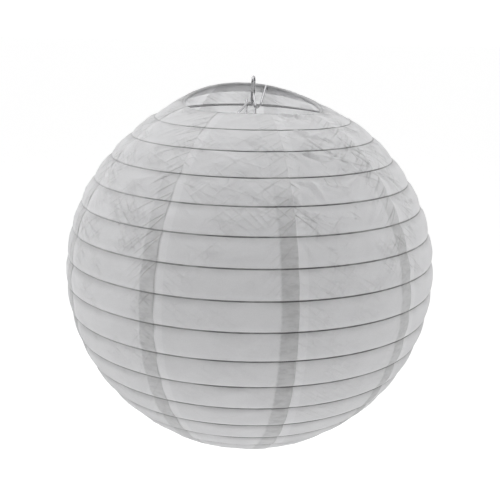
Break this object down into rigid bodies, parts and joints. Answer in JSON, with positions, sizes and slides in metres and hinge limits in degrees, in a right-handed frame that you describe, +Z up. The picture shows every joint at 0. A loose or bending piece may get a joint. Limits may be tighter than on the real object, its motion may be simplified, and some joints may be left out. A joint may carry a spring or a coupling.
{
  "type": "accordion paper lantern",
  "caption": "Round folding paper lantern: pleated paper bands on wire hoops between two open end rings, held open by a hooked wire frame with a hanging eye.",
  "frame": {"origin": "the point in the hanging eye where a cord or hook bears", "axes": "+Z up along the lantern's axis; the frame's front arm points 12 degrees to the left of -Y, its back arm to the right of +Y"},
  "size_m": [0.299, 0.299, 0.2923],
  "materials": {
    "paper": "thin grey tissue paper, matt, with fine fibres",
    "hoop_wire": "thin steel wire glued into the paper",
    "frame_wire": "bright zinc-plated wire"
  },
  "bodies": {
    "frame": {"hanger_wire": "frame_wire", "leg_wire": "frame_wire", "foot_wire": "frame_wire"},
    "top_ring": {"top_ring": "hoop_wire", "top_hem": "paper", "paper_band_01": "paper"},
    "hoop_01": {"rib_01": "hoop_wire", "paper_band_02": "paper"},
    "hoop_02": {"rib_02": "hoop_wire", "paper_band_03": "paper"},
    "hoop_03": {"rib_03": "hoop_wire", "paper_band_04": "paper"},
    "hoop_04": {"rib_04": "hoop_wire", "paper_band_05": "paper"},
    "hoop_05": {"rib_05": "hoop_wire", "paper_band_06": "paper"},
    "hoop_06": {"rib_06": "hoop_wire", "paper_band_07": "paper"},
    "hoop_07": {"rib_07": "hoop_wire", "paper_band_08": "paper"},
    "hoop_08": {"rib_08": "hoop_wire", "paper_band_09": "paper"},
    "hoop_09": {"rib_09": "hoop_wire", "paper_band_10": "paper"},
    "hoop_10": {"rib_10": "hoop_wire", "paper_band_11": "paper"},
    "hoop_11": {"rib_11": "hoop_wire", "paper_band_12": "paper"},
    "hoop_12": {"rib_12": "hoop_wire", "paper_band_13": "paper"},
    "hoop_13": {"rib_13": "hoop_wire", "paper_band_14": "paper"},
    "hoop_14": {"rib_14": "hoop_wire", "paper_band_15": "paper"},
    "bottom_ring": {"bottom_ring": "hoop_wire", "bottom_hem": "paper"}
  },
  "joints": [
    {"name": "shade_lift", "type": "slide", "parent": "frame", "child": "top_ring", "axis": [0, 0, 1], "range_m": [0, 0.3]},
    {"name": "fold_01", "type": "slide", "parent": "top_ring", "child": "hoop_01", "axis": [0, 0, 1], "range_m": [0, 0.00986], "deforming": ["paper_band_01"]},
    {"name": "fold_02", "type": "slide", "parent": "hoop_01", "child": "hoop_02", "axis": [0, 0, 1], "range_m": [0, 0.01237], "deforming": ["paper_band_02"]},
    {"name": "fold_03", "type": "slide", "parent": "hoop_02", "child": "hoop_03", "axis": [0, 0, 1], "range_m": [0, 0.01412], "deforming": ["paper_band_03"]},
    {"name": "fold_04", "type": "slide", "parent": "hoop_03", "child": "hoop_04", "axis": [0, 0, 1], "range_m": [0, 0.01533], "deforming": ["paper_band_04"]},
    {"name": "fold_05", "type": "slide", "parent": "hoop_04", "child": "hoop_05", "axis": [0, 0, 1], "range_m": [0, 0.01651], "deforming": ["paper_band_05"]},
    {"name": "fold_06", "type": "slide", "parent": "hoop_05", "child": "hoop_06", "axis": [0, 0, 1], "range_m": [0, 0.01793], "deforming": ["paper_band_06"]},
    {"name": "fold_07", "type": "slide", "parent": "hoop_06", "child": "hoop_07", "axis": [0, 0, 1], "range_m": [0, 0.01895], "deforming": ["paper_band_07"]},
    {"name": "fold_08", "type": "slide", "parent": "hoop_07", "child": "hoop_08", "axis": [0, 0, 1], "range_m": [0, 0.01922], "deforming": ["paper_band_08"]},
    {"name": "fold_09", "type": "slide", "parent": "hoop_08", "child": "hoop_09", "axis": [0, 0, 1], "range_m": [0, 0.01906], "deforming": ["paper_band_09"]},
    {"name": "fold_10", "type": "slide", "parent": "hoop_09", "child": "hoop_10", "axis": [0, 0, 1], "range_m": [0, 0.01846], "deforming": ["paper_band_10"]},
    {"name": "fold_11", "type": "slide", "parent": "hoop_10", "child": "hoop_11", "axis": [0, 0, 1], "range_m": [0, 0.01743], "deforming": ["paper_band_11"]},
    {"name": "fold_12", "type": "slide", "parent": "hoop_11", "child": "hoop_12", "axis": [0, 0, 1], "range_m": [0, 0.016], "deforming": ["paper_band_12"]},
    {"name": "fold_13", "type": "slide", "parent": "hoop_12", "child": "hoop_13", "axis": [0, 0, 1], "range_m": [0, 0.0142], "deforming": ["paper_band_13"]},
    {"name": "fold_14", "type": "slide", "parent": "hoop_13", "child": "hoop_14", "axis": [0, 0, 1], "range_m": [0, 0.01207], "deforming": ["paper_band_14"]},
    {"name": "fold_15", "type": "slide", "parent": "hoop_14", "child": "bottom_ring", "axis": [0, 0, 1], "range_m": [0, 0.00966], "deforming": ["paper_band_15"]}
  ],
  "couplings": [
    {"joint": "fold_01", "follows": "fold_08", "ratio": 0.51269},
    {"joint": "fold_02", "follows": "fold_08", "ratio": 0.64341},
    {"joint": "fold_03", "follows": "fold_08", "ratio": 0.73471},
    {"joint": "fold_04", "follows": "fold_08", "ratio": 0.79728},
    {"joint": "fold_05", "follows": "fold_08", "ratio": 0.85898},
    {"joint": "fold_06", "follows": "fold_08", "ratio": 0.93284},
    {"joint": "fold_07", "follows": "fold_08", "ratio": 0.98549},
    {"joint": "fold_09", "follows": "fold_08", "ratio": 0.99157},
    {"joint": "fold_10", "follows": "fold_08", "ratio": 0.96031},
    {"joint": "fold_11", "follows": "fold_08", "ratio": 0.90683},
    {"joint": "fold_12", "follows": "fold_08", "ratio": 0.83234},
    {"joint": "fold_13", "follows": "fold_08", "ratio": 0.73861},
    {"joint": "fold_14", "follows": "fold_08", "ratio": 0.6277},
    {"joint": "fold_15", "follows": "fold_08", "ratio": 0.50224}
  ]
}
